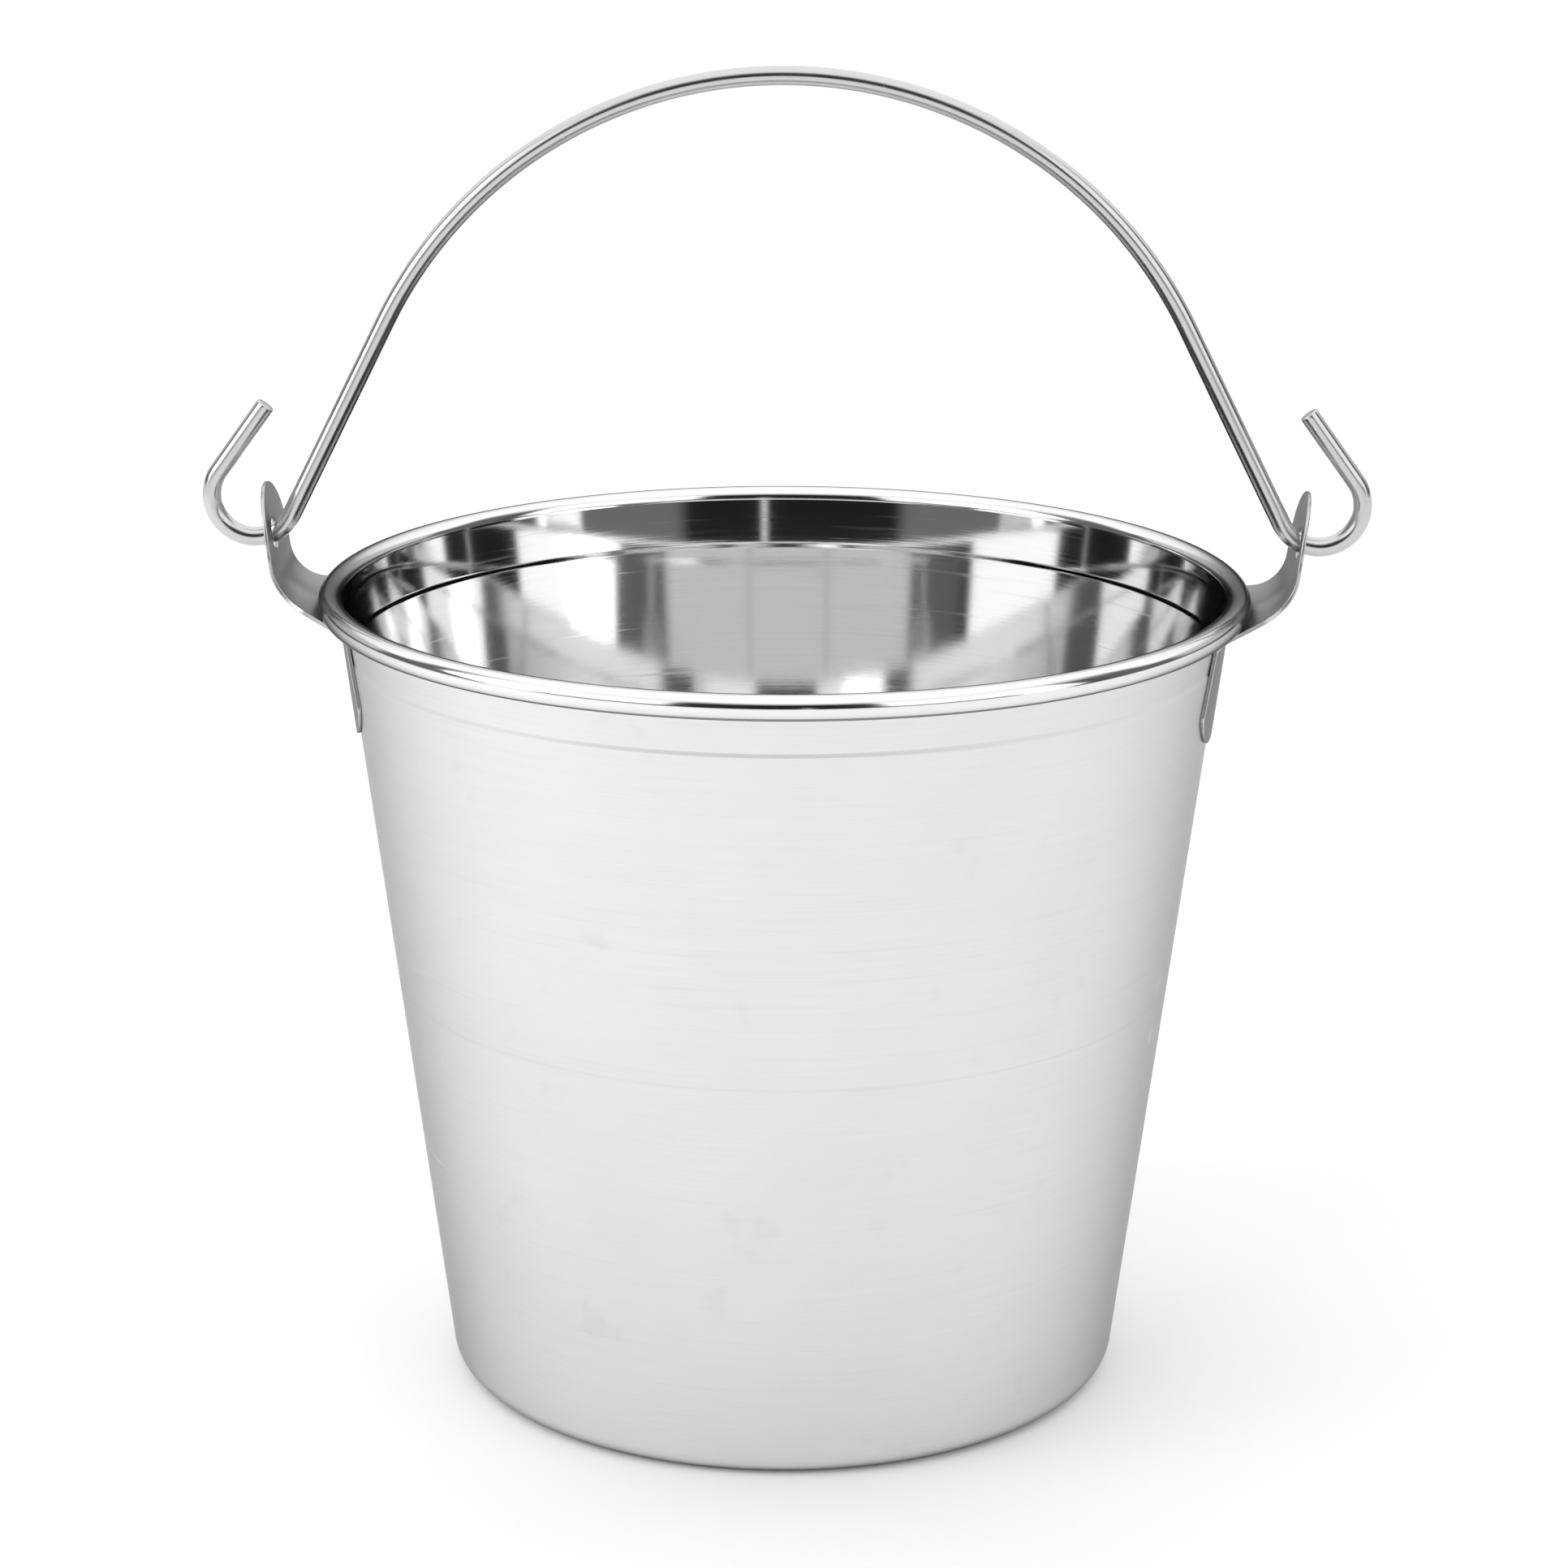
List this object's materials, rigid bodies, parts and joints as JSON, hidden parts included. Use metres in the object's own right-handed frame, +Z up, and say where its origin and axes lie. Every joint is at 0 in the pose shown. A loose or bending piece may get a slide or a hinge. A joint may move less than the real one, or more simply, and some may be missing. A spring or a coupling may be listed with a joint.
{
  "type": "milk pail",
  "caption": "Tapered seamless pail with a rolled rim, welded sheet ears and a swinging wire bail that ends in open hooks.",
  "frame": {"origin": "centre of the standing ring, on the face the pail stands on", "axes": "+Z up along the pail's axis; +X through the right ear, with both ears and the upright bail in the XZ plane; +Y to the back"},
  "size_m": [0.3684, 0.294, 0.4203],
  "materials": {
    "shell_steel": "satin brushed round the pail, bright rolled rim",
    "ear_steel": "satin",
    "bail_wire": "smooth drawn wire"
  },
  "bodies": {
    "pail": {"pail_body": "shell_steel", "ear_right": "ear_steel", "ear_left": "ear_steel"},
    "handle": {"bail": "bail_wire"}
  },
  "joints": [
    {"name": "bail_swing", "type": "hinge", "parent": "pail", "child": "handle", "pos_m": [0, 0, 0.2725], "axis": [1, 0, 0], "range_deg": [-94, 94]}
  ]
}
